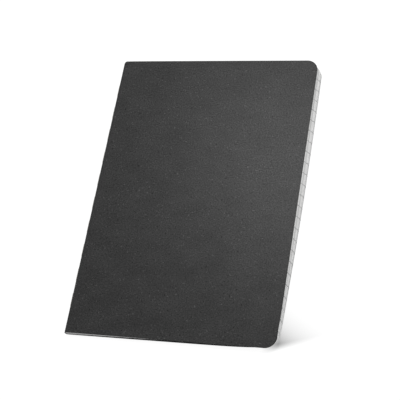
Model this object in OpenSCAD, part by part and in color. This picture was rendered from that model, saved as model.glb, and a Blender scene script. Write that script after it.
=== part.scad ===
// A thin sewn notebook of ruled pages in a plain card cover, lying flat with its front cover up.
// +X runs from the spine to the fore-edge, +Y from the tail to the head, +Z out of the front cover.
// The origin is under the middle of the whole notebook, on the surface that it lies on.

/* [Cover] */
// Height of the covers and the pages, from tail to head
cover_h = 210; // [120:1:300]
// Width of the front cover, from the outside of the spine to its fore-edge
cover_w = 146.9; // [80:0.1:210]
// How far the back cover reaches past the front cover at the fore-edge
back_reach = 0.8; // [0:0.1:2]
// Thickness of the cover card
card_t = 0.35; // [0.25:0.05:0.8]
// Radius of the two rounded fore-edge corners
corner_r = 8; // [3:0.5:15]

/* [Pages] */
// Number of leaves
leaves = 32; // [24:4:80]
// Thickness of one leaf
leaf_t = 0.1; // [0.08:0.01:0.12]
// Gap between the folded side of the pages and the inside of the spine
fold_gap = 0.05; // [0.03:0.01:0.2]

/* [Fanned fore-edge] */
// Leaves in each step of the fan
leaves_per_step = 2; // [1:1:4]
// How far the last leaf reaches past the front cover at the tail
fan_tail = 1.3; // [0:0.1:2]
// How far the last leaf reaches past the front cover at the head
fan_head = 2.8; // [0:0.1:3]
// How much further the last leaf bows out at the middle of its fore-edge
fan_bow = 1.1; // [0:0.1:2]
// How far the middle of the stack bellies out past a straight slope
fan_belly = 0.8; // [0:0.1:1.5]
// How far the last leaf draws in at the tail and the head, at its fore-edge
draw_in = 2.1; // [0:0.1:3]
// How far the waves in the stack push the leaves in and out
ripple = 0.12; // [0:0.02:0.3]
// Number of waves through the stack
ripple_waves = 3; // [1:1:5]

/* [Sewing] */
// Radius of the thread
thread_r = 0.3; // [0.15:0.05:0.4]
// Gap round the thread in the card and the pages, and between the thread and the spine
thread_gap = 0.1; // [0.05:0.01:0.15]
// Length of one stitch, from needle hole to needle hole
stitch_len = 9; // [5:0.5:14]
// Least distance from the tail or the head to the first needle hole
stitch_margin = 12; // [6:1:30]
// Radius inside the bend where the thread turns into a needle hole
bend_inside_r = 0.1; // [0.05:0.01:0.1]
// Radius of the knots that end the thread at the centre fold
knot_r = 0.55; // [0.45:0.05:0.7]

/* [Hidden] */

card_colour = "#434344";
page_colour = "#eceae4";
thread_colour = "#d9d5ca";

// Thickness: the stack of leaves lies between two cards, and the spine is a half circle round it.
stack_t = leaves * leaf_t;
book_t = stack_t + 2 * card_t;
mid_z = book_t / 2;
spine_r = book_t / 2;
crease_x = spine_r;
page_x = crease_x + fold_gap;

// Fan of the fore-edge: v runs from 0 at the tail to 1 at the head, u from 0 under the front
// cover to 1 on the back cover. The steps count up from the back cover, and the top one holds
// the leaves that are left over.
fan_steps = ceil(leaves / leaves_per_step);
step_t = leaves_per_step * leaf_t;
corner_points = 8;
edge_points = 12;
function fan(v) = fan_tail + (fan_head - fan_tail) * v + fan_bow * sin(180 * v);
function belly(u) = fan_belly * sin(180 * u) + ripple * sin(360 * ripple_waves * u);
function edge_x(u, y) = cover_w + u * fan(y / cover_h) + belly(u);

// Stations along the fore-edge, each a height and how far the rounded corner cuts in there.
function corner_station(angle) = [corner_r * (1 - cos(angle)), corner_r * (1 - sin(angle))];
corner = [for (i = [0 : corner_points]) corner_station(90 * i / corner_points)];
straight_h = cover_h - 2 * corner_r;
stations = concat(
    corner,
    [for (i = [1 : edge_points - 1]) [corner_r + straight_h * i / edge_points, 0]],
    [for (i = [corner_points : -1 : 0]) [cover_h - corner[i][0], corner[i][1]]]
);

// Sewing: outer stitches on the spine alternate with inner ones in the centre fold.
inner_stitches = floor(((cover_h - 2 * stitch_margin) / stitch_len - 1) / 2);
hole_count = 2 * inner_stitches + 2;
first_hole_y = (cover_h - (hole_count - 1) * stitch_len) / 2;
thread_bend = thread_r + bend_inside_r;
way_r = thread_r + thread_gap;
thread_out_x = -way_r;
thread_in_x = page_x;
last_hole = hole_count - 1;
function hole_y(i) = first_hole_y + i * stitch_len;

// Place of the whole notebook about its origin.
step_reaches = [for (k = [0 : fan_steps - 1]) for (s = stations) edge_x((k + 0.5) / fan_steps, s[0]) - s[1]];
thread_reach = thread_r - thread_out_x;
fore_edge_reach = max(cover_w + back_reach, max(step_reaches));
spine_x = (thread_reach - fore_edge_reach) / 2;

// Sets a piece, drawn from the tail end of the spine, into the frame of the notebook.
module place() {
    translate([spine_x, -cover_h / 2, 0]) children();
}

// Outline of a cover panel, straight at its crease and round at its two fore-edge corners.
module panel_outline(reach) {
    panel_w = reach - crease_x;
    translate([crease_x, corner_r]) square([panel_w, straight_h]);
    translate([crease_x, 0]) square([panel_w - corner_r, cover_h]);
    for (y = [corner_r, cover_h - corner_r])
        translate([reach - corner_r, y]) circle(r = corner_r, $fn = 96);
}

// Outline of the leaves at depth u of the stack: the fore-edge bows out, and the tail and the
// head close in towards it.
module leaf_outline(u) {
    shrink = 1 - 2 * draw_in * u / cover_h;
    fore_edge = [for (s = stations) [
        edge_x(u, s[0]) - s[1],
        cover_h / 2 + (s[0] - cover_h / 2) * shrink
    ]];
    polygon(concat([[page_x, 0]], fore_edge, [[page_x, cover_h]]));
}

// Quarter bend that carries the thread from a stitch along Y into a leg along X.
module thread_corner(r) {
    rotate_extrude(angle = 90, $fn = 48)
        translate([thread_bend, 0]) circle(r = r, $fn = 24);
}

// One stitch along Y between two holes at distance x, with the bend at each of its ends.
// side is 1 for an outer stitch, whose ends turn towards +X, and -1 for an inner one.
module stitch(x, y_from, y_to, side) {
    bend_x = x + side * thread_bend;
    straight_run(x, y_from + thread_bend, y_to - thread_bend, thread_r);
    translate([bend_x, y_from + thread_bend, mid_z])
        rotate([0, 0, side > 0 ? 180 : -90]) thread_corner(thread_r);
    translate([bend_x, y_to - thread_bend, mid_z])
        rotate([0, 0, side > 0 ? 90 : 0]) thread_corner(thread_r);
}

// Straight round run along Y, of thread or of the way cut for it.
module straight_run(x, y_from, y_to, r) {
    translate([x, y_from, mid_z]) rotate([-90, 0, 0])
        cylinder(r = r, h = y_to - y_from, $fn = 24);
}

// Straight round run along X through needle hole i.
module leg(i, x_from, x_to, r) {
    translate([x_from, hole_y(i), mid_z]) rotate([0, 90, 0])
        cylinder(r = r, h = x_to - x_from, $fn = 24);
}

// Knots that end the thread at the centre fold, under the first and the last hole.
module knots() {
    for (i = [0, last_hole])
        translate([thread_in_x, hole_y(i), mid_z]) sphere(r = knot_r, $fn = 24);
}

// The way of the thread through the pages: its needle holes and the gutter of the centre spread.
module thread_way() {
    gutter_w = 2 * (knot_r + thread_gap);
    for (i = [0 : last_hole])
        leg(i, -card_t, thread_in_x, way_r);
    translate([thread_in_x, cover_h / 2, mid_z])
        cube([gutter_w, (hole_count - 1) * stitch_len + gutter_w, gutter_w], center = true);
}

// Front card of the cover, from its crease at the spine to the fore-edge.
module front_cover() {
    color(card_colour) place()
        translate([0, 0, book_t - card_t]) linear_extrude(card_t) panel_outline(cover_w);
}

// Back card of the cover, the face that the notebook lies on.
module back_cover() {
    color(card_colour) place()
        linear_extrude(card_t) panel_outline(cover_w + back_reach);
}

// The card where it turns round the pages between its two creases, with the needle holes.
module spine_fold() {
    color(card_colour) place() difference() {
        translate([crease_x, 0, mid_z]) rotate([-90, 0, 0]) linear_extrude(cover_h) difference() {
            circle(r = spine_r, $fn = 96);
            circle(r = spine_r - card_t, $fn = 96);
            translate([0, -book_t]) square([book_t, 2 * book_t]);
        }
        for (i = [0 : last_hole])
            leg(i, -card_t, 2 * card_t, way_r);
    }
}

// All the leaves: a round fold at the spine, a core that every leaf covers, the steps of the fan
// that widen it, and the way of the thread.
module page_block() {
    color(page_colour) place() difference() {
        union() {
            translate([page_x, 0, mid_z]) rotate([-90, 0, 0])
                cylinder(d = stack_t, h = cover_h, $fn = 96);
            translate([page_x, draw_in, card_t])
                cube([cover_w - corner_r - page_x, cover_h - 2 * draw_in, stack_t]);
            for (k = [0 : fan_steps - 1])
                translate([0, 0, card_t + k * step_t])
                    linear_extrude(min(step_t, stack_t - k * step_t))
                        leaf_outline(1 - (k + 0.5) / fan_steps);
        }
        thread_way();
    }
}

// The sewing thread, one length that passes in and out through the fold.
module sewing_thread() {
    bend_x = thread_out_x + thread_bend;
    color(thread_colour) place() {
        for (i = [0 : inner_stitches])
            stitch(thread_out_x, hole_y(2 * i), hole_y(2 * i + 1), 1);
        for (i = [0 : inner_stitches - 1])
            stitch(thread_in_x, hole_y(2 * i + 1), hole_y(2 * i + 2), -1);
        for (i = [1 : last_hole - 1])
            leg(i, bend_x, thread_in_x - thread_bend, thread_r);
        for (i = [0, last_hole])
            leg(i, bend_x, thread_in_x, thread_r);
        knots();
    }
}

front_cover();
back_cover();
spine_fold();
page_block();
sewing_thread();
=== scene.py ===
import math

import bpy
import numpy as np
from mathutils import Matrix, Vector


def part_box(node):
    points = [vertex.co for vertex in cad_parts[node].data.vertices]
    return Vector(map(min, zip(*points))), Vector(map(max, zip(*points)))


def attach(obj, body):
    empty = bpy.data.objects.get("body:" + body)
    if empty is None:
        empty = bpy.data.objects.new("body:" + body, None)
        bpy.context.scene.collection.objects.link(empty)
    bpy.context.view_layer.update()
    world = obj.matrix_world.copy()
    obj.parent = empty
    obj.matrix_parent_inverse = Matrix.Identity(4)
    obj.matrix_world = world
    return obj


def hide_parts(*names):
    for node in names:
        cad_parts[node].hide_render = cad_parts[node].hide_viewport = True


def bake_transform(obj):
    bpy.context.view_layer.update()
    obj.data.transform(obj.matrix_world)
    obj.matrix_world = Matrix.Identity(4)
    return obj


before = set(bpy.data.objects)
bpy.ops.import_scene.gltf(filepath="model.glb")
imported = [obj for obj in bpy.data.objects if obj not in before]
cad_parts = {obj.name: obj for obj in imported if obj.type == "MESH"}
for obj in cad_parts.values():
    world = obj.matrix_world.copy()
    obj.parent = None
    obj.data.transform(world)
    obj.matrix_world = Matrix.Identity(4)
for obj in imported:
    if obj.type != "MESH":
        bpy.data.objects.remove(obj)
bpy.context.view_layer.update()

mm = 0.001

# The book's own sizes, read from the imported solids: x to the fore-edge, y to the head, z up.
frontLow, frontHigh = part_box("front_cover")
pageLow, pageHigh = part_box("page_block")
book = {
    "spineX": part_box("spine_fold")[0].x,
    "creaseX": frontLow.x,
    "frontX": frontHigh.x,
    "tailY": frontLow.y,
    "headY": frontHigh.y,
    "thick": frontHigh.z,
    "cardThick": frontHigh.z - frontLow.z,
    "stackBottom": pageLow.z,
    "stackTop": pageHigh.z,
    "cornerRadius": 8 * mm,
}
book["height"] = book["headY"] - book["tailY"]
book["midZ"] = book["thick"] / 2
book["spineRadius"] = book["creaseX"] - book["spineX"]

# How the leaves fan out past the front cover, draw in and slip. Depth runs from 0 to 1 down the stack.
fan = {
    "tail": 0.3 * mm,
    "head": 2.75 * mm,
    "bow": 1.35 * mm,                 # further out again at the middle of the fore-edge
    "drawIn": 2.1 * mm,               # the last leaf draws in this far at the tail and the head
    "slide": 1.6 * mm,                # how far the fanned leaves slip to the tail, at their head
    "slideTail": 0.1,                 # share of that slip at their tail
    "slideDepth": 0.25,               # depth by which most of the slip is reached
    "softCorner": 2 * mm,             # how much rounder the last leaf is at its tail corner
    "lean": 0.75,                     # the upper leaves step out further than the lower ones
    "bunchEnds": (0.03, 0.24, 0.68),  # depths at which some leaves lie flush
    "bunchWidth": 0.068,
    "bunchDepth": 0.92,
}

# How the stack has leaned and worn.
wear = {
    "lean": 0.33 * mm,        # the back cover lies this much nearer the tail than the front cover
    "headAcross": 3.2 * mm,   # the head end of the fold is rubbed round by this ellipse
    "headDown": 3.4 * mm,
    "headReach": 14 * mm,     # and hardly at all this far below the head
}

# Needle holes of the running stitch, from the tail to the head, and its thread.
sewing = {
    "stitch": 9 * mm,
    "holes": 20,
    "threadRadius": 0.2 * mm,   # pulled tight, thinner than the solid thread
    "clearance": 0.03 * mm,
    "insideBend": 0.1 * mm,
    "knotRadius": 0.45 * mm,
    "knotPull": 0.9,            # the loops of a knot are pulled in to this share of it
    "foldGap": 0.05 * mm,
}
holeHeights = (np.arange(sewing["holes"]) - (sewing["holes"] - 1) / 2) * sewing["stitch"]
foldX = book["creaseX"] + sewing["foldGap"]


def smoothStep(t):
    # 0 below 0, 1 above 1, and 3t^2 - 2t^3 between
    t = np.clip(t, 0, 1)
    return t * t * (3 - 2 * t)


def upFromTail(y):
    # height above the tail, as a share of the book's height
    return (y - book["tailY"]) / book["height"]


def cornerCut(y, radius, tailExtra=0.0):
    # how far a quarter-round corner of this radius cuts in at height y, at the tail and the head;
    # the tail's corner may be rounder by tailExtra
    fromEnd = np.minimum(y - book["tailY"], book["headY"] - y)
    radius = radius + tailExtra * (y < 0)
    d = np.clip(1 - fromEnd / radius, 0, 1)
    return radius * (1 - np.sqrt(1 - d * d))


def rowHeights(cornerRows, edgeRows, radius, extra=()):
    # heights from tail to head: close together round the corners, then even, plus the extra ones
    turn = np.linspace(0, math.pi / 2, cornerRows + 1)
    fromEnd = radius * (1 - np.cos(turn))
    middle = np.linspace(book["tailY"] + radius, book["headY"] - radius, edgeRows + 1)
    rows = np.concatenate([book["tailY"] + fromEnd, middle, book["headY"] - fromEnd, extra])
    return np.unique(np.round(rows, 7))


def leanStack(points):
    # the stack leans: a point moves to the tail by how far it lies below the front cover
    out = points.copy()
    out[..., 1] -= wear["lean"] * (1 - points[..., 2] / book["thick"])
    return out


def wearSpineHead(points):
    # the stack leans, and the head end of its fold is rubbed round: near the head a point moves
    # down by a quarter ellipse of its distance from the spine's outermost line
    out = leanStack(points)
    fromSpine = out[..., 0] - book["spineX"]
    d = np.clip(1 - fromSpine / wear["headAcross"], 0, 1)
    drop = wear["headDown"] * (1 - np.sqrt(1 - d * d))
    near = smoothStep((out[..., 1] - book["headY"] + wear["headReach"]) / wear["headReach"])
    out[..., 1] -= drop * near
    return out


def gridQuads(columns, rows, start=0, flip=False):
    # vertex numbers of the quads of a columns x rows grid stored column by column
    c, r = np.meshgrid(np.arange(columns - 1), np.arange(rows - 1), indexing="ij")
    a = (start + c * rows + r).ravel()
    quads = np.stack([a, a + rows, a + rows + 1, a + 1], 1)
    return quads[:, ::-1] if flip else quads


def rimOrder(columns, rows):
    # vertex numbers of the border of such a grid, once round
    n = np.arange(columns * rows).reshape(columns, rows)
    return np.concatenate([n[:-1, 0], n[-1, :-1], n[:0:-1, -1], n[0, :0:-1]])


def shellFrom(layers):
    # a closed thin shell from grids of one size: the first layer is its upper face, the last its
    # lower face, and the ones between give only their borders, for the cut edge
    columns, rows = layers[0].shape[:2]
    border = rimOrder(columns, rows)
    face = columns * rows
    ring = len(border)
    upper = layers[0].reshape(-1, 3)
    lower = layers[-1].reshape(-1, 3)
    rings = [layer.reshape(-1, 3)[border] for layer in layers[1:-1]]
    points = np.concatenate([upper, lower] + rings)
    loops = [border] + [2 * face + k * ring + np.arange(ring) for k in range(len(rings))]
    loops.append(face + border)
    quads = [gridQuads(columns, rows), gridQuads(columns, rows, face, flip=True)]
    rim = []
    for above, below in zip(loops[:-1], loops[1:]):
        rim.append(np.stack([above, below, np.roll(below, -1), np.roll(above, -1)], 1))
    faces = np.concatenate(quads + rim)
    cut = np.zeros(len(faces), bool)
    cut[2 * len(quads[0]):] = True
    return points, faces, cut


def meshPiece(name, points, faces, cut=None, sharpAngle=32):
    # a mesh object made from whole arrays; the faces of a cut edge take its second material, and
    # edges that turn by more than sharpAngle degrees stay sharp
    mesh = bpy.data.meshes.new(name)
    mesh.from_pydata(points.tolist(), [], faces if isinstance(faces, list) else faces.tolist())
    mesh.polygons.foreach_set("use_smooth", np.ones(len(faces), bool))
    if cut is not None:
        mesh.polygons.foreach_set("material_index", cut.astype(np.int32))
    mesh.update()
    if sharpAngle:
        mesh.set_sharp_from_angle(angle=math.radians(sharpAngle))
    piece = bpy.data.objects.new(name, mesh)
    bpy.context.scene.collection.objects.link(piece)
    return piece


def pointAttribute(piece, name, values):
    # stores one vector per point, for the materials
    layer = piece.data.attributes.new(name, "FLOAT_VECTOR", "POINT")
    layer.data.foreach_set("vector", np.asarray(values, np.float32).ravel())


def newGroup(name, inputs, outputs):
    # a shader node group with named float, vector and colour sockets
    group = bpy.data.node_groups.new(name, "ShaderNodeTree")
    kinds = {"value": "NodeSocketFloat", "vector": "NodeSocketVector", "colour": "NodeSocketColor"}
    for label, kind, default in inputs:
        socket = group.interface.new_socket(name=label, in_out="INPUT", socket_type=kinds[kind])
        if default is not None:
            socket.default_value = default
    for label, kind in outputs:
        group.interface.new_socket(name=label, in_out="OUTPUT", socket_type=kinds[kind])
    return group, group.nodes.new("NodeGroupInput"), group.nodes.new("NodeGroupOutput")


def feed(tree, socket, value):
    # gives an input a value, or links it to another node's output
    if isinstance(value, (int, float, tuple)):
        socket.default_value = value
    else:
        tree.links.new(value, socket)


def mathNode(tree, operation, a, b=None):
    # one Math node; a and b are sockets or numbers
    node = tree.nodes.new("ShaderNodeMath")
    node.operation = operation
    feed(tree, node.inputs[0], a)
    if b is not None:
        feed(tree, node.inputs[1], b)
    return node.outputs[0]


def product(tree, first, *others):
    # all of these sockets or numbers multiplied
    for other in others:
        first = mathNode(tree, "MULTIPLY", first, other)
    return first


def rangeNode(tree, value, low, high, toLow=0.0, toHigh=1.0, smooth=True):
    # maps low..high of a value to toLow..toHigh
    node = tree.nodes.new("ShaderNodeMapRange")
    node.interpolation_type = "SMOOTHSTEP" if smooth else "LINEAR"
    tree.links.new(value, node.inputs["Value"])
    node.inputs["From Min"].default_value = low
    node.inputs["From Max"].default_value = high
    node.inputs["To Min"].default_value = toLow
    node.inputs["To Max"].default_value = toHigh
    return node.outputs["Result"]


def noiseNode(tree, vector, scale, detail=3.0, roughness=0.55, stretch=None, turn=0.0):
    # noise in the given place, stretched and turned about z by a Mapping node if asked
    if stretch is not None:
        mapping = tree.nodes.new("ShaderNodeMapping")
        mapping.inputs["Scale"].default_value = stretch
        mapping.inputs["Rotation"].default_value = (0, 0, turn)
        tree.links.new(vector, mapping.inputs["Vector"])
        vector = mapping.outputs["Vector"]
    noise = tree.nodes.new("ShaderNodeTexNoise")
    feed(tree, noise.inputs["Scale"], scale)
    noise.inputs["Detail"].default_value = detail
    noise.inputs["Roughness"].default_value = roughness
    tree.links.new(vector, noise.inputs["Vector"])
    return noise.outputs["Fac"]


def noiseShare(tree, noise, low, high):
    # low to high, as a noise goes over the range where most of its values lie
    return rangeNode(tree, noise, 0.3, 0.7, low, high, smooth=False)


def mixColour(tree, factor, a, b):
    # a where the factor is 0 and b where it is 1; a and b are sockets or colours
    node = tree.nodes.new("ShaderNodeMix")
    node.data_type = "RGBA"
    feed(tree, node.inputs[0], factor)
    feed(tree, node.inputs[6], a)
    feed(tree, node.inputs[7], b)
    return node.outputs[2]


def scaleColour(tree, colour, factor):
    # a colour times a value
    node = tree.nodes.new("ShaderNodeVectorMath")
    node.operation = "SCALE"
    feed(tree, node.inputs[0], colour[:3] if isinstance(colour, tuple) else colour)
    tree.links.new(factor, node.inputs["Scale"])
    return node.outputs[0]


def readAttribute(tree, name):
    # the vector that pointAttribute stored under this name
    node = tree.nodes.new("ShaderNodeAttribute")
    node.attribute_name = name
    return node.outputs["Vector"]


def splitVector(tree, vector):
    # its x, y and z
    node = tree.nodes.new("ShaderNodeSeparateXYZ")
    tree.links.new(vector, node.inputs[0])
    return node.outputs


fibreLook = {
    "toothScale": 1800.0,
    "toothDetail": 4.0,
    "toothRoughness": 0.65,
    "mottleScale": 80.0,
    "mottleStretch": (0.6, 1.0, 1.0),
    "fleckScale": 900.0,
    # stretch and turn of each kind of fleck, and the noise at its rim and at its full strength
    "lightFlecks": ((1.0, 0.5, 1.0), 0.6, 0.66, 0.74),
    "moreLightFlecks": ((0.5, 1.0, 1.0), 0.35, 0.67, 0.75),
    "darkFlecks": ((0.8, 0.6, 1.0), 1.1, 0.34, 0.27),
}


def fibreGroup():
    # fibre shared by card, pages and thread: fine tooth, soft mottling, light and dark flecks
    look = fibreLook
    group, inside, outside = newGroup(
        "paperFibre",
        [("Place", "vector", None), ("Tooth Scale", "value", look["toothScale"]),
         ("Fleck Scale", "value", look["fleckScale"])],
        [("Tooth", "value"), ("Mottle", "value"), ("Light Fleck", "value"), ("Dark Fleck", "value")],
    )
    place, toothScale, fleckScale = (inside.outputs[k] for k in range(3))

    def flecks(stretch, turn, rim, full):
        # stretched noise, cut off so that only its peaks or its hollows are left
        noise = noiseNode(group, place, fleckScale, detail=1.0, stretch=stretch, turn=turn)
        return rangeNode(group, noise, rim, full)

    light = mathNode(group, "MAXIMUM", flecks(*look["lightFlecks"]), flecks(*look["moreLightFlecks"]))
    made = {
        "Tooth": noiseNode(group, place, toothScale, look["toothDetail"], look["toothRoughness"]),
        "Mottle": noiseNode(group, place, look["mottleScale"], stretch=look["mottleStretch"]),
        "Light Fleck": light,
        "Dark Fleck": flecks(*look["darkFlecks"]),
    }
    for label, socket in made.items():
        group.links.new(socket, outside.inputs[label])
    return group


paperFibre = fibreGroup()


def placeFibre(tree, place, toothScale, fleckScale):
    # the fibre group in a material, read at this place
    node = tree.nodes.new("ShaderNodeGroup")
    node.node_tree = paperFibre
    node.inputs["Tooth Scale"].default_value = toothScale
    node.inputs["Fleck Scale"].default_value = fleckScale
    tree.links.new(place, node.inputs["Place"])
    return node.outputs


def principled(name, colour, roughness, specular):
    # a new material, with its node tree and its Principled shader
    material = bpy.data.materials.new(name)
    material.use_nodes = True
    shader = material.node_tree.nodes["Principled BSDF"]
    shader.inputs["Base Color"].default_value = colour
    shader.inputs["Roughness"].default_value = roughness
    shader.inputs["Specular IOR Level"].default_value = specular
    return material, material.node_tree, shader


def addBump(tree, shader, height, strength, distance):
    # raises the surface where the height is greater
    bump = tree.nodes.new("ShaderNodeBump")
    bump.inputs["Strength"].default_value = strength
    bump.inputs["Distance"].default_value = distance
    tree.links.new(height, bump.inputs["Height"])
    tree.links.new(bump.outputs["Normal"], shader.inputs["Normal"])


card = {
    "colour": (0.0354, 0.0354, 0.0354, 1),
    # the cut edge is darker than the face: partly the card's dark core, partly painted shade that keeps
    # it dark although it faces the lamps
    "cutColour": (0.022, 0.022, 0.022, 1),
    "roughness": 0.315,
    "pitRoughness": 0.08,      # rougher by this in the pits of the tooth
    "tipRoughness": 0.06,      # and smoother by this on its tips
    "specular": 0.093,
    "toothScale": 1150.0,
    "fleckScale": 800.0,
    "toothDepth": 0.67,        # share by which the tooth lightens and darkens the colour
    "mottleDepth": 0.14,
    "lightFleck": 1.0,
    "darkFleck": 0.6,
    "bump": 0.35,
    "bumpDistance": 0.05 * mm,
    "rimShade": 0.12,          # the card is a little darker along its rim
    "rimWidth": 1.3 * mm,
    "softEdge": 0.05 * mm,
    "wave": 0.10 * mm,         # how far the front cover lifts in places off the leaves
    "waveStart": 30 * mm,
    "waveAcross": 34,          # radians of the wave to a metre across
    "waveAlong": 21,           # and along the book
    "wavePhases": (1.3, -0.6),
    "columns": 26,
    "arcColumns": 22,
    "cornerRows": 12,
    "edgeRows": 48,
    "holeRows": 9,
    "foldStart": 0.05 * mm,    # the crease bends from here before its line
    "foldBand": 0.4 * mm,      # to here past it
    "foldColumns": 12,
    "rimBands": np.array([2, 1, 0.4]) * mm,
    "backReach": 0.3 * mm,     # how far the back card reaches past the front card
    "backDrawIn": 1.9 * mm,    # the back card draws in at the fore-edge with the last leaves
    "drawInEven": 0.34,        # this share of it evenly, the rest as a power of the way across
    "drawInPower": 12,
    "easeIn": 0.36 * mm,       # the front card's fore-edge runs in a little above its tail corner
    "easePlace": 12 * mm,
    "easeLength": 6 * mm,
}


def cardMaterial(name, base):
    # dyed-through matt card: fibre tooth, flecks, soft mottling and a darker rim
    material, tree, shader = principled(name, base, card["roughness"], card["specular"])
    fibre = placeFibre(tree, readAttribute(tree, "cardPlace"), card["toothScale"], card["fleckScale"])
    tooth = noiseShare(tree, fibre["Tooth"], 1 - card["toothDepth"], 1 + card["toothDepth"])
    mottle = noiseShare(tree, fibre["Mottle"], 1 - card["mottleDepth"], 1 + card["mottleDepth"])
    light = rangeNode(tree, fibre["Light Fleck"], 0, 1, 1, 1 + card["lightFleck"], smooth=False)
    dark = rangeNode(tree, fibre["Dark Fleck"], 0, 1, 1, 1 - card["darkFleck"], smooth=False)
    rim = splitVector(tree, readAttribute(tree, "cardRim"))[0]
    darkerRim = rangeNode(tree, rim, 0, card["rimWidth"], 1 - card["rimShade"], 1)
    shade = product(tree, tooth, mottle, light, dark, darkerRim)
    tree.links.new(scaleColour(tree, base, shade), shader.inputs["Base Color"])
    pit = card["roughness"] + card["pitRoughness"]
    tip = card["roughness"] - card["tipRoughness"]
    tree.links.new(noiseShare(tree, fibre["Tooth"], pit, tip), shader.inputs["Roughness"])
    addBump(tree, shader, fibre["Tooth"], card["bump"], card["bumpDistance"])
    return material


def drawnIn(drawIn, across):
    # how far a card's tail and head draw in: evenly across, and faster round the fore-edge corners
    even = card["drawInEven"]
    return drawIn * (even * across + (1 - even) * across ** card["drawInPower"])


def cardColumns(foreX):
    # shares of the way from the crease to the fore-edge, close together at both
    width = foreX - book["creaseX"]
    nearFold = np.linspace(0, card["foldBand"], card["foldColumns"])[1:]
    farther = width * np.linspace(0, 1, card["columns"])[1:-1]
    across = np.sort(np.concatenate([nearFold, farther, width - card["rimBands"]])) / width
    return np.append(across, 1)[:, None]


# Half of the folded cover. Across, an angle runs from 0 at the spine's middle line to 90 degrees
# at the crease, round a circle of the spine's radius; from there x runs to the fore-edge, cut in
# by the quarter circles at the corners. At each needle hole the middle line steps back to the
# edge of the round hole. The heights run from the tail to the head.
def coverHalf(name, nodes, foreX, drawIn, upper):
    radius = book["spineRadius"]
    thick = book["cardThick"]
    crease = book["creaseX"]
    hole = sewing["threadRadius"] + sewing["clearance"]
    holeRound = hole * np.sin(np.linspace(-1, 1, card["holeRows"]) * math.pi / 2)
    holeRows = (holeHeights[:, None] + holeRound).ravel()
    rows = rowHeights(card["cornerRows"], card["edgeRows"], book["cornerRadius"], holeRows)
    across = cardColumns(foreX)
    cut = cornerCut(rows, book["cornerRadius"], 0.0 if upper else fan["softCorner"])
    fromEase = (rows - book["tailY"] - card["easePlace"]) / card["easeLength"]
    cut = cut + upper * card["easeIn"] * np.exp(-fromEase ** 2)

    def surface(depth, inset):
        # the card this far below its outer face, its outline drawn in by inset
        inner = radius - depth
        y = np.clip(rows, book["tailY"] + inset, book["headY"] - inset)
        offHole = np.abs(rows[:, None] - holeHeights).min(1)
        step = np.arcsin(np.sqrt(np.maximum(hole ** 2 - offHole ** 2, 0)) / inner)
        angle = step + (math.pi / 2 - step) * np.linspace(0, 1, card["arcColumns"])[:, None]
        flatX = crease + across * (foreX - inset - cut - crease)
        lift = card["wave"] * smoothStep((flatX - crease) / card["waveStart"])
        first, second = card["wavePhases"]
        ups = np.sin(card["waveAcross"] * flatX + first) * np.cos(card["waveAlong"] * y + second)
        lift = lift * (0.5 + 0.5 * ups)
        flatY = y * (1 - 2 * drawnIn(drawIn, across) / book["height"])
        x = np.concatenate([crease - inner * np.cos(angle), flatX])
        z = np.concatenate([inner * np.sin(angle), inner + lift * upper + 0 * flatX])
        z = book["midZ"] + (z if upper else -z)
        y = np.concatenate([y + 0 * angle, flatY])
        return wearSpineHead(np.stack([x, y, z], -1))

    soft = card["softEdge"]
    layers = [surface(0, soft), surface(soft, 0), surface(thick - soft, 0), surface(thick, soft)]
    points, faces, edge = shellFrom(layers if upper else layers[::-1])
    piece = meshPiece(name, points, faces, edge)
    piece.data.materials.append(cardFace)
    piece.data.materials.append(cardCut)
    cardAttributes(piece, points, foreX, drawIn, upper)
    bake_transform(piece)
    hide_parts(*nodes)


def cardAttributes(piece, points, foreX, drawIn, upper):
    # each point's place on the card unrolled flat, and its distance from the nearest cut edge
    crease = book["creaseX"]
    radius = book["spineRadius"]
    fromCrease = points[:, 0] - crease
    turned = -radius * np.arcsin(np.clip(-fromCrease / radius, 0, 1))
    flat = np.where(fromCrease < 0, turned, fromCrease)
    side = np.full(len(points), 0.0 if upper else 0.5)
    pointAttribute(piece, "cardPlace", np.stack([flat, points[:, 1], side], 1))
    out = np.clip(fromCrease / (foreX - crease), 0, 1)
    y = points[:, 1] / (1 - 2 * drawnIn(drawIn, out) / book["height"])
    fromFore = foreX - cornerCut(y, book["cornerRadius"]) - points[:, 0]
    rim = np.minimum.reduce([fromFore, y - book["tailY"], book["headY"] - y])
    pointAttribute(piece, "cardRim", np.stack([np.maximum(rim, 0)] * 3, 1))


cardFace = cardMaterial("darkCard", card["colour"])
cardCut = cardMaterial("darkCardCutEdge", card["cutColour"])
backX = book["frontX"] + card["backReach"]
coverHalf("front_card", ["front_cover", "spine_fold"], book["frontX"], 0, True)
coverHalf("back_card", ["back_cover", "spine_fold"], backX, card["backDrawIn"], False)
print("cover made")

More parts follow.
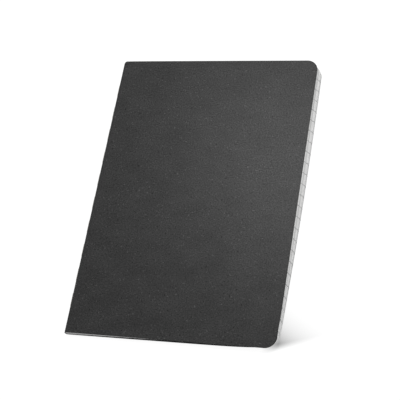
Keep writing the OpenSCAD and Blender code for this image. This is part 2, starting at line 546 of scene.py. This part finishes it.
leaf = {
    "count": 32,
    "thick": 0.09 * mm,
    "colour": (0.74, 0.74, 0.735, 1),
    "cutColour": (0.75, 0.75, 0.75, 1),
    "roughness": 0.8,
    "specular": 0.25,
    "toothScale": 2600.0,
    "fleckScale": 1500.0,
    "bump": 0.15,
    "bumpDistance": 0.02 * mm,
    "lineColour": (0.36, 0.36, 0.37, 1),
    "cutLineColour": (0.05, 0.05, 0.05, 1),
    "lineWidth": 0.32 * mm,
    "cutLineWidth": 0.84 * mm,   # the ink that has soaked into the cut edge spreads a little
    "lineSoft": 0.25,            # share of a line's half width over which its two sides fade
    "firstLine": 11.5 * mm,
    "linePitch": 8 * mm,
    "lines": 24,
    "printDrift": -1.6 * mm,     # the print of the last leaf lies this much nearer the tail
    "driftPower": 1.3,
    "printJitter": 0.16 * mm,
    "inkPatch": 28.0,            # the ink in the cut edges comes in patches of about 4 leaves
    "inkLow": 0.25,              # and the palest ones hold this share of it
    "inkNoise": (0.36, 0.62),    # the noise at the palest and at the fullest
    "inkStep": 3.7,              # from line to line the noise is read this far along
    "gapShade": 0.18,             # painted shade between the leaves: how much darker the edges of one bunch are
    "gapShadeDepth": 0.3,
    "gapShadeRise": 0.14,         # how much higher in the stack that bunch lies near the head
    "gapShadeWidth": 0.1,
    "gapShadeBend": (0.5, 0.35),  # it rises from this share of the height, over this one
    "gapShadeAlong": (0.12, 0.2),      # and darkens from this share of the height, over this one
    "edgeBand": 0.1,             # only this outer share of a leaf's width is toned
    "paintedCornerLight": 0.17,         # painted light: how much paler the paper is painted where the tail corner is rounded
    "paintedLightStart": 4 * mm,
    "paintedLightReach": 22 * mm,
    "edgeJitter": 0.05 * mm,
    "slackGap": 12.0,            # the gap under a flush bunch is this much wider than the others
    "looseBand": 0.4,            # the leaves part over this outer share of their width
    "foldSpread": 5 * mm,
    "foldShare": 0.92,           # a leaf fills this share of its room in the fold at most
    "foldRoom": 0.05 * mm,       # radius left inside the innermost fold
    "threadRoom": 0.36 * mm,     # and further room there for the thread
    "threadEase": 3 * mm,        # which closes over this length past the knots
    "knotRoom": 0.24 * mm,       # and for its two knots
    "knotHalf": 0.5 * mm,        # over this half length, and closing over the next
    "knotEase": 1.6 * mm,
    "trim": 0.3 * mm,            # the pages stop this far short of the cover at the tail and the head
    "cornerRows": 8,
    "edgeRows": 26,
    "knotRows": np.array([-3, -1.6, -0.8, 0, 0.8, 1.6, 3]) * mm,
    "turnColumns": 11,
    "seed": 11,
}
# Where the columns of a leaf lie, as shares of its width from the fold to the fore-edge.
leafColumns = np.array([1, 0.996, 0.985, 0.96, 0.9, 0.78, 0.6, 0.42, 0.25, 0.12, 0.06, 0.033, 0.02, 0.01])


def foreEdge(k, y):
    # reach of leaf k at height y: the fan at that height times the share that the leaves down to k
    # have stepped out; each steps out by 1 + lean cos(pi depth), and hardly where a bunch ends
    v = upFromTail(y)
    reach = fan["tail"] + (fan["head"] - fan["tail"]) * v + fan["bow"] * np.sin(math.pi * v)
    depth = (np.arange(leaf["count"]) + 0.5) / leaf["count"]
    flush = np.exp(-((depth[:, None] - fan["bunchEnds"]) / fan["bunchWidth"]) ** 2).max(1)
    step = (1 + fan["lean"] * np.cos(math.pi * depth)) * (1 - fan["bunchDepth"] * flush)
    return book["frontX"] + reach * np.cumsum(step)[k] / step.sum()


def inkPatches(tree, turns, depth):
    # how much ink a cut line holds: a noise that is new for each line and soft from leaf to leaf
    place = tree.nodes.new("ShaderNodeCombineXYZ")
    tree.links.new(product(tree, mathNode(tree, "FLOOR", turns), leaf["inkStep"]), place.inputs[0])
    tree.links.new(product(tree, depth, leaf["inkPatch"]), place.inputs[1])
    ink = noiseNode(tree, place.outputs[0], 1.0, detail=0.0)
    return rangeNode(tree, ink, *leaf["inkNoise"], leaf["inkLow"], 1.0)


def ruledLines(tree, place, cut):
    # 1 on the ruled lines and 0 between them; turns counts the lines from the tail
    across, along, depth = splitVector(tree, place)
    fromFirst = mathNode(tree, "SUBTRACT", along, leaf["firstLine"] - leaf["linePitch"] / 2)
    turns = mathNode(tree, "DIVIDE", fromFirst, leaf["linePitch"])
    phase = mathNode(tree, "FRACT", turns)
    away = mathNode(tree, "ABSOLUTE", mathNode(tree, "SUBTRACT", phase, 0.5))
    half = leaf["cutLineWidth" if cut else "lineWidth"] / 2 / leaf["linePitch"]
    onLine = rangeNode(tree, away, half * (1 + leaf["lineSoft"]), half * (1 - leaf["lineSoft"]))
    afterFirst = rangeNode(tree, turns, 0.0, 0.01)
    beforeLast = rangeNode(tree, turns, leaf["lines"] + 0.0, leaf["lines"] - 0.01)
    line = product(tree, onLine, afterFirst, beforeLast)
    return product(tree, line, inkPatches(tree, turns, depth)) if cut else line


def paperMaterial(name, cut=False):
    # writing paper with thin grey ruled lines that run off the fore-edge
    base = leaf["cutColour"] if cut else leaf["colour"]
    material, tree, shader = principled(name, base, leaf["roughness"], leaf["specular"])
    place = readAttribute(tree, "leafPlace")
    fibre = placeFibre(tree, place, leaf["toothScale"], leaf["fleckScale"])
    tooth = noiseShare(tree, fibre["Tooth"], 0.95, 1.04)
    mottle = noiseShare(tree, fibre["Mottle"], 0.97, 1.02)
    # the leaf tone holds painted shade between the leaves and painted light at the tail corner
    tone = splitVector(tree, readAttribute(tree, "leafTone"))[0]
    paper = scaleColour(tree, base, product(tree, tooth, mottle, tone))
    ink = leaf["cutLineColour" if cut else "lineColour"]
    inked = mixColour(tree, ruledLines(tree, place, cut), paper, ink)
    tree.links.new(inked, shader.inputs["Base Color"])
    addBump(tree, shader, fibre["Tooth"], leaf["bump"], leaf["bumpDistance"])
    return material


def leafStack():
    # what the sheets share: the heights of their rows, the radii of their folds at each row, and
    # for each leaf its level in the stack, the shift of its print and the waves of its fore-edge
    random = np.random.default_rng(leaf["seed"])
    count = leaf["count"]
    half = (book["stackTop"] - book["stackBottom"]) / 2
    pitch = 2 * half / count
    knots = holeHeights[[0, -1]]
    knotRows = (knots[:, None] + leaf["knotRows"]).ravel()
    rows = rowHeights(leaf["cornerRows"], leaf["edgeRows"], book["cornerRadius"], knotRows)
    # the innermost fold leaves room for the thread between its two knots, and more at each knot
    sewn = smoothStep((knots[1] + leaf["threadEase"] - np.abs(rows)) / leaf["threadEase"])
    fromKnot = np.abs(rows[:, None] - knots).min(1)
    atKnot = 1 - smoothStep((fromKnot - leaf["knotHalf"]) / leaf["knotEase"])
    innerFold = leaf["foldRoom"] + sewn * leaf["threadRoom"] + atKnot * leaf["knotRoom"]
    # at the fore-edge the slack between the leaves gathers in a few gaps
    gaps = random.random(count) * 0.5 + 0.5
    gaps[(np.array(fan["bunchEnds"]) * count).astype(int) + 1] += leaf["slackGap"]
    slack = (2 * half - count * leaf["thick"]) * np.cumsum(gaps) / gaps.sum()
    drift = leaf["printDrift"] * np.linspace(0, 1, count) ** leaf["driftPower"]
    return {
        "rows": rows,
        "up": upFromTail(rows),
        "innerFold": innerFold,
        "outerFold": half - 0.5 * pitch,
        "looseZ": book["stackTop"] - (np.arange(count) + 0.5) * leaf["thick"] - slack,
        "evenZ": book["stackTop"] - (np.arange(count) + 0.5) * pitch,
        "drift": drift + random.normal(0, leaf["printJitter"], count),
        "waves": random.normal(0, leaf["edgeJitter"], (count, 3)),
    }


def leafTone(stack, k, s):
    # how pale leaf k is at shares s of its width: its outer tenth has painted shade between the
    # leaves about one depth that rises towards the head, and painted light by its rounded tail corner
    u = (k + 0.5) / leaf["count"]
    v = stack["up"]
    fromTail = stack["rows"] - book["tailY"]
    cornerLight = leaf["paintedCornerLight"] * (1 - smoothStep((fromTail - leaf["paintedLightStart"]) / leaf["paintedLightReach"]))
    bendFrom, bendOver = leaf["gapShadeBend"]
    bunch = leaf["gapShadeDepth"] - leaf["gapShadeRise"] * smoothStep((v - bendFrom) / bendOver)
    near = np.exp(-((u - bunch) / leaf["gapShadeWidth"]) ** 2)
    gapShadeFrom, gapShadeOver = leaf["gapShadeAlong"]
    gapShadeAlong = smoothStep((v - gapShadeFrom) / gapShadeOver)
    atEdge = smoothStep((s[:, None] - (1 - leaf["edgeBand"])) / leaf["edgeBand"])
    return 1 + (cornerLight - leaf["gapShade"] * near * gapShadeAlong) * atEdge


def leafPart(stack, k, s, foldRadius, foldThick):
    # Leaf k at shares s of its width: its middle surface, normal, half thickness, print shift and
    # tone. x runs from the fold to the waved fore-edge, less the round of the corner; y shrinks
    # and slips to the tail with s; z goes smoothly from the fold's radius to the leaf's level.
    rows, v, waves = stack["rows"], stack["up"], stack["waves"][k]
    u = (k + 0.5) / leaf["count"]
    sign = 1 if k < leaf["count"] // 2 else -1
    wave = waves[0] + waves[1] * np.sin(2 * math.pi * v + k) + waves[2] * np.sin(5 * v + 2 * k)
    cut = cornerCut(rows, book["cornerRadius"], fan["softCorner"] * u)
    reach = foreEdge(k, rows) + wave - cut
    x = foldX + s[:, None] * (reach - foldX)
    shrink = 1 - 2 * (leaf["trim"] + fan["drawIn"] * u * s) / book["height"]
    slip = fan["slide"] * (1 - math.exp(-u / fan["slideDepth"]))
    slip = slip * (fan["slideTail"] + (1 - fan["slideTail"]) * v)
    y = rows * shrink[:, None] - slip * s[:, None]
    flat = smoothStep((x - foldX) / leaf["foldSpread"])
    loose = smoothStep((s - (1 - leaf["looseBand"])) / leaf["looseBand"])[:, None]
    level = stack["evenZ"][k] + (stack["looseZ"][k] - stack["evenZ"][k]) * loose
    z = (book["midZ"] + sign * foldRadius) * (1 - flat) + level * flat
    thick = foldThick * (1 - flat) + leaf["thick"] * flat
    normal = np.zeros(x.shape + (3,))
    normal[..., 2] = sign
    shift = np.full(x.shape, stack["drift"][k])
    return np.stack([x, y, z], -1), normal, thick / 2, shift, leafTone(stack, k, s)


def foldPart(stack, j, foldRadius, foldThick):
    # The fold of sheet j, as leafPart gives a leaf: an angle runs over the half circle, from the
    # front leaf at the top to the back leaf at the bottom, about the line where the folds start.
    angle = np.linspace(0, math.pi, leaf["turnColumns"])[:, None]
    shape = (len(angle), len(stack["rows"]))
    trimmed = stack["rows"] * (1 - 2 * leaf["trim"] / book["height"])
    x = foldX - foldRadius * np.sin(angle)
    z = book["midZ"] + foldRadius * np.cos(angle)
    normal = np.zeros(shape + (3,))
    normal[..., 0] = -np.sin(angle)
    normal[..., 2] = np.cos(angle)
    halfThick = np.broadcast_to(foldThick / 2, shape)
    drift = stack["drift"]
    turn = np.linspace(drift[j], drift[leaf["count"] - 1 - j], len(angle))
    shift = np.broadcast_to(turn[:, None], shape)
    middle = np.stack([x, np.broadcast_to(trimmed, shape), z], -1)
    return middle, normal, halfThick, shift, np.ones(shape)


def foldedSheet(stack, j):
    # sheet j, counted from the outside: its front leaf, its fold and its back leaf in one shell
    sheets = leaf["count"] // 2
    crowd = (stack["outerFold"] - stack["innerFold"]) / (sheets - 1)
    foldRadius = stack["innerFold"] + crowd * (sheets - 1 - j)
    foldThick = np.minimum(leaf["thick"], leaf["foldShare"] * crowd)
    front = leafPart(stack, j, leafColumns, foldRadius, foldThick)
    fold = foldPart(stack, j, foldRadius, foldThick)
    back = leafPart(stack, leaf["count"] - 1 - j, leafColumns[::-1], foldRadius, foldThick)
    middle, normal, halfThick, shift, tone = (np.concatenate(part) for part in zip(front, fold, back))
    reach = normal * halfThick[..., None]
    outside = wearSpineHead(middle + reach)
    inside = wearSpineHead(middle - reach)
    # the columns run over the fold to the back, so the faces are turned to point outwards
    points, faces, cut = shellFrom([outside, inside])
    along = middle[..., 1] - book["tailY"] - shift
    depth = np.full(along.shape, 0.01 * j)
    place = np.stack([middle[..., 0] - foldX, along, depth], -1).reshape(-1, 3)
    return points, faces[:, ::-1], cut, np.tile(place, (2, 1)), np.tile(tone.ravel(), 2)


def ruledPages():
    # the leaves as nested folded sheets, in one piece
    stack = leafStack()
    sheets = [foldedSheet(stack, j) for j in range(leaf["count"] // 2)]
    points, faces, cut, place, tone = zip(*sheets)
    starts = np.cumsum([0] + [len(part) for part in points])
    faces = [part + start for part, start in zip(faces, starts)]
    piece = meshPiece("ruled_pages", np.concatenate(points), np.concatenate(faces), np.concatenate(cut))
    piece.data.materials.append(paperMaterial("ruledPaper"))
    piece.data.materials.append(paperMaterial("ruledPaperCutEdge", cut=True))
    pointAttribute(piece, "leafPlace", np.concatenate(place))
    pointAttribute(piece, "leafTone", np.stack([np.concatenate(tone)] * 3, 1))
    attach(piece, "block")
    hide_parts("page_block")


ruledPages()
print("pages made")

thread = {
    "colour": (0.66, 0.64, 0.58, 1),
    "shadow": (0.42, 0.40, 0.35, 1),
    "roughness": 0.85,
    "specular": 0.2,
    "toothScale": 5200.0,
    "fleckScale": 3800.0,
    "bump": 0.4,
    "bumpDistance": 0.03 * mm,
    "plies": 3,
    "twist": 1.1 * mm,          # length of one full turn of the plies
    "lobe": 0.16,               # depth of the grooves between the plies, as a share of the radius
    "sides": 12,
    "step": 0.16 * mm,
    "bendPoints": 7,
    "knotPoints": 60,
}


def threadMaterial():
    # twisted cotton thread: grooves between the plies are painted darker, as shade, with fine fibres
    # along them
    material, tree, shader = principled(
        "twistedThread", thread["colour"], thread["roughness"], thread["specular"],
    )
    place = readAttribute(tree, "threadPlace")
    groove = splitVector(tree, place)[2]
    fibre = placeFibre(tree, place, thread["toothScale"], thread["fleckScale"])
    hair = noiseShare(tree, fibre["Tooth"], 0.86, 1.1)
    shade = mixColour(tree, groove, thread["shadow"], thread["colour"])
    tree.links.new(scaleColour(tree, shade, hair), shader.inputs["Base Color"])
    addBump(tree, shader, fibre["Tooth"], thread["bump"], thread["bumpDistance"])
    return material


def evenPath(points, step):
    # the same line with points this far apart along it
    length = np.concatenate([[0], np.cumsum(np.linalg.norm(np.diff(points, axis=0), axis=1))])
    count = max(int(length[-1] / step), 2)
    at = np.linspace(0, length[-1], count + 1)
    return np.stack([np.interp(at, length, points[:, k]) for k in range(3)], 1), at


def twistedTube(path, at, radius):
    # A closed tube along a path: each ring lies across the path, and its radius swells over each
    # ply and dips between them, turned by the twist as it goes.
    tangent = np.gradient(path, axis=0)
    tangent /= np.linalg.norm(tangent, axis=1)[:, None]
    side = np.cross(tangent, [0.0, 0.0, 1.0])
    side /= np.maximum(np.linalg.norm(side, axis=1), 1e-9)[:, None]
    over = np.cross(side, tangent)
    around = np.linspace(0, 2 * math.pi, thread["sides"], endpoint=False)
    phase = thread["plies"] * (around[None, :] - 2 * math.pi * at[:, None] / thread["twist"])
    swell = 1 - thread["lobe"] * (0.5 - 0.5 * np.cos(phase))
    ring = radius * swell[..., None] * (
        np.cos(around)[None, :, None] * side[:, None] + np.sin(around)[None, :, None] * over[:, None]
    )
    n, m = len(path), thread["sides"]
    i, k = np.meshgrid(np.arange(n - 1), np.arange(m), indexing="ij")
    a = i * m + k
    b = i * m + (k + 1) % m
    quads = np.stack([a, b, b + m, a + m], -1).reshape(-1, 4)
    points = np.concatenate([(path[:, None] + ring).reshape(-1, 3), path[[0, -1]]])
    first, last = n * m, n * m + 1
    k = np.arange(m)
    startCap = np.stack([(k + 1) % m, k, np.full(m, first)], 1)
    endCap = np.stack([(n - 1) * m + k, (n - 1) * m + (k + 1) % m, np.full(m, last)], 1)
    groove = (0.5 + 0.5 * np.cos(phase)).ravel()
    place = np.stack([np.repeat(at, m), np.tile(around * radius, n), groove], 1)
    place = np.concatenate([place, [[0, 0, 1], [at[-1], 0, 1]]])
    return points, quads.tolist() + startCap.tolist() + endCap.tolist(), place


def stitchPath():
    # the running stitch in the plane of the middle fold: outside on the spine, through a hole,
    # inside the centre fold, and so on, with a quarter bend at each turn
    outX = book["spineX"] - sewing["threadRadius"] - sewing["clearance"]
    bend = sewing["threadRadius"] + sewing["insideBend"]
    quarter = np.linspace(0, math.pi / 2, thread["bendPoints"])
    rise = bend * (1 - np.sin(quarter))
    run = bend * (1 - np.cos(quarter))
    line = [np.array([[foldX, holeHeights[0]]])]
    for k, (low, high) in enumerate(zip(holeHeights[:-1], holeHeights[1:])):
        x, turn = (outX, 1) if k % 2 == 0 else (foldX, -1)
        line.append(np.stack([x + turn * rise, low + run], 1))
        line.append(np.stack([x + turn * run, high - rise], 1))
    line.append(np.array([[foldX, holeHeights[-1]]]))
    flat = np.concatenate(line)
    return leanStack(np.stack([flat[:, 0], flat[:, 1], np.full(len(flat), book["midZ"])], 1))


def knotPath(y):
    # a small overhand knot about the end of the thread: a trefoil, with x as sin t + 2 sin 2t, z as
    # cos t - 2 cos 2t, and y as -sin 3t
    t = np.linspace(0, 2 * math.pi, thread["knotPoints"])
    size = sewing["knotPull"] * (sewing["knotRadius"] - 0.5 * sewing["threadRadius"]) / 3
    x = size * (np.sin(t) + 2 * np.sin(2 * t))
    z = size * (np.cos(t) - 2 * np.cos(2 * t))
    lift = -size * np.sin(3 * t)
    return leanStack(np.array([foldX, y, book["midZ"]]) + np.stack([x, lift, z], 1))


def sewingThread():
    # the stitch, and at each end a knot of thinner thread with closer rings
    radius = sewing["threadRadius"]
    parts = [(stitchPath(), radius, thread["step"])]
    parts += [(knotPath(y), radius / 2, thread["step"] / 2) for y in holeHeights[[0, -1]]]
    points, faces, places = [], [], []
    start = 0
    for line, thin, step in parts:
        path, at = evenPath(line, step)
        tube, tubeFaces, place = twistedTube(path, at, thin)
        points.append(tube)
        places.append(place)
        faces += [[n + start for n in face] for face in tubeFaces]
        start += len(tube)
    piece = meshPiece("twisted_thread", np.concatenate(points), faces, sharpAngle=None)
    piece.data.materials.append(threadMaterial())
    pointAttribute(piece, "threadPlace", np.concatenate(places))
    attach(piece, "block")
    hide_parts("sewing_thread")


sewingThread()
print("thread made")

floor = {
    "size": 8.0,
    "below": 0.04 * mm,
    "colour": (0.30, 0.30, 0.30, 1),
    "seenColour": 0.22,        # what a camera sees is this much lit floor
    "seenGlow": 0.88,          # and this much plain white
    # a soft painted shade lies off the tail corner of the fore-edge
    "shadeDepth": 0.64,
    "shadeFrom": 147.3 * mm,   # across from the spine
    "shadeBefore": 12 * mm,
    "shadeAcross": 12.4 * mm,
    "shadeLean": 0.31,
    "shadeTail": -0.9 * mm,
    "shadeTop": 4.9 * mm,
    "shadeUp": 11.4 * mm,
    # a thin painted contact shade lies along the tail, from the spine
    "contactDepth": 0.5,
    "contactReach": 0.5 * mm,
    "contactStart": 4 * mm,
    "contactFrom": 12 * mm,
    "contactAcross": 25 * mm,
    "contactUnder": 4 * mm,    # it ends this far above the tail, under the book
    "contactEnd": 8 * mm,
}


def fadeNode(tree, value, start, length):
    # 1 up to start, then falling as e to the minus distance over length
    past = mathNode(tree, "MAXIMUM", mathNode(tree, "SUBTRACT", value, start), 0.0)
    return mathNode(tree, "EXPONENT", mathNode(tree, "DIVIDE", past, -length))


def floorShade(tree):
    # 1 on the open floor, less in the two shades; across runs from the spine and up from the tail
    place = tree.nodes.new("ShaderNodeTexCoord").outputs["Object"]
    x, y, z = splitVector(tree, place)
    across = mathNode(tree, "SUBTRACT", x, book["spineX"])
    up = mathNode(tree, "SUBTRACT", y, book["tailY"])
    contact = product(
        tree,
        fadeNode(tree, across, floor["contactFrom"], floor["contactAcross"]),
        rangeNode(tree, up, -floor["contactReach"], 0),
        rangeNode(tree, across, 0, floor["contactStart"]),
        rangeNode(tree, up, floor["contactEnd"], floor["contactUnder"]),
        floor["contactDepth"],
    )
    beyond = mathNode(tree, "SUBTRACT", across, floor["shadeFrom"])
    leaned = mathNode(tree, "SUBTRACT", up, product(tree, beyond, floor["shadeLean"]))
    shade = product(
        tree,
        fadeNode(tree, across, floor["shadeFrom"], floor["shadeAcross"]),
        rangeNode(tree, beyond, -floor["shadeBefore"], 0),
        rangeNode(tree, leaned, floor["shadeTail"], floor["shadeTop"]),
        fadeNode(tree, leaned, floor["shadeTop"], floor["shadeUp"]),
        floor["shadeDepth"],
    )
    return mathNode(tree, "SUBTRACT", 1.0, mathNode(tree, "MAXIMUM", shade, contact))


def floorMaterial():
    # pale floor: a plain matt grey to the lamps, mostly white to the camera, dimmed by its painted shades
    material = bpy.data.materials.new("paleFloor")
    material.use_nodes = True
    tree = material.node_tree
    tree.nodes.clear()
    output = tree.nodes.new("ShaderNodeOutputMaterial")
    matt = tree.nodes.new("ShaderNodeBsdfDiffuse")
    glow = tree.nodes.new("ShaderNodeEmission")
    path = tree.nodes.new("ShaderNodeLightPath").outputs
    seen = mathNode(tree, "MAXIMUM", path["Is Camera Ray"], path["Is Glossy Ray"])
    seen = mathNode(tree, "MAXIMUM", seen, path["Is Transmission Ray"])
    shade = floorShade(tree)
    grey = mixColour(tree, seen, floor["colour"], (floor["seenColour"],) * 3 + (1,))
    tree.links.new(scaleColour(tree, grey, shade), matt.inputs["Color"])
    tree.links.new(product(tree, seen, floor["seenGlow"], shade), glow.inputs["Strength"])
    add = tree.nodes.new("ShaderNodeAddShader")
    tree.links.new(matt.outputs[0], add.inputs[0])
    tree.links.new(glow.outputs[0], add.inputs[1])
    tree.links.new(add.outputs[0], output.inputs["Surface"])
    return material


def makeFloor():
    # one square, just under the book
    half = floor["size"] / 2
    corners = np.array([[-half, -half, 0], [half, -half, 0], [half, half, 0], [-half, half, 0]])
    corners[:, 2] = -floor["below"]
    piece = meshPiece("floor", corners, np.array([[0, 1, 2, 3]]))
    piece.data.materials.append(floorMaterial())


makeFloor()

light = {
    "skyStrength": 0.52,
    "skyColour": (1, 1, 1, 1),
    "keyPlace": (-0.159, 0.441, 0.86),
    "keySize": 0.26,
    "keyPower": 3.7,
    "fillPlace": (1.0, -0.08, 0.2),
    "fillSize": 0.5,
    "fillPower": 4.0,
    "aim": (0.0, 0.0, 0.0),
}


def lookingMatrix(stand, aim, roll):
    # a camera or lamp at stand that looks at aim, turned about its own axis by roll degrees
    stand, aim = np.array(stand, float), np.array(aim, float)
    ahead = (aim - stand) / np.linalg.norm(aim - stand)
    level = np.cross(ahead, [0, 0, 1])
    level /= np.linalg.norm(level)
    upright = np.cross(level, ahead)
    turn = math.radians(roll)
    right = math.cos(turn) * level + math.sin(turn) * upright
    up = np.cross(right, ahead)
    matrix = np.eye(4)
    matrix[:3] = np.stack([right, up, -ahead, stand], 1)
    return Matrix(matrix.tolist())


def softbox(name, place, size, power):
    # a square area light that looks at the notebook
    lamp = bpy.data.lights.new(name, "AREA")
    lamp.shape = "SQUARE"
    lamp.size = size
    lamp.energy = power
    holder = bpy.data.objects.new(name, lamp)
    bpy.context.scene.collection.objects.link(holder)
    holder.matrix_world = lookingMatrix(place, light["aim"], 0)


def makeLights():
    # a white sky, full to the camera and dimmer to the book, and two softboxes
    world = bpy.data.worlds.new("studio")
    bpy.context.scene.world = world
    world.use_nodes = True
    tree = world.node_tree
    tree.nodes.clear()
    output = tree.nodes.new("ShaderNodeOutputWorld")
    back = tree.nodes.new("ShaderNodeBackground")
    back.inputs["Color"].default_value = light["skyColour"]
    path = tree.nodes.new("ShaderNodeLightPath")
    strength = product(tree, path.outputs["Is Camera Ray"], 1 - light["skyStrength"])
    tree.links.new(mathNode(tree, "ADD", strength, light["skyStrength"]), back.inputs["Strength"])
    tree.links.new(back.outputs[0], output.inputs["Surface"])
    softbox("softbox", light["keyPlace"], light["keySize"], light["keyPower"])
    softbox("fill", light["fillPlace"], light["fillSize"], light["fillPower"])


camera = {
    "stand": (0.335256, -0.306670, 0.679200),   # x is measured from the spine's outermost line
    "aim": (0.078789, -0.004809, 0.0039),
    "roll": -34.095,
    "lens": 103.73,
    "sensor": 36,
    "nearest": 0.01,
}


def makeCamera():
    # the photograph's viewpoint
    lens = bpy.data.cameras.new("viewpoint")
    lens.lens = camera["lens"]
    lens.sensor_width = camera["sensor"]
    lens.clip_start = camera["nearest"]
    holder = bpy.data.objects.new("viewpoint", lens)
    bpy.context.scene.collection.objects.link(holder)
    spine = np.array([book["spineX"], 0, 0])
    holder.matrix_world = lookingMatrix(spine + camera["stand"], spine + camera["aim"], camera["roll"])
    bpy.context.scene.camera = holder


makeLights()
makeCamera()
bpy.context.scene.view_settings.view_transform = "Standard"
print("floor, lights and camera set")
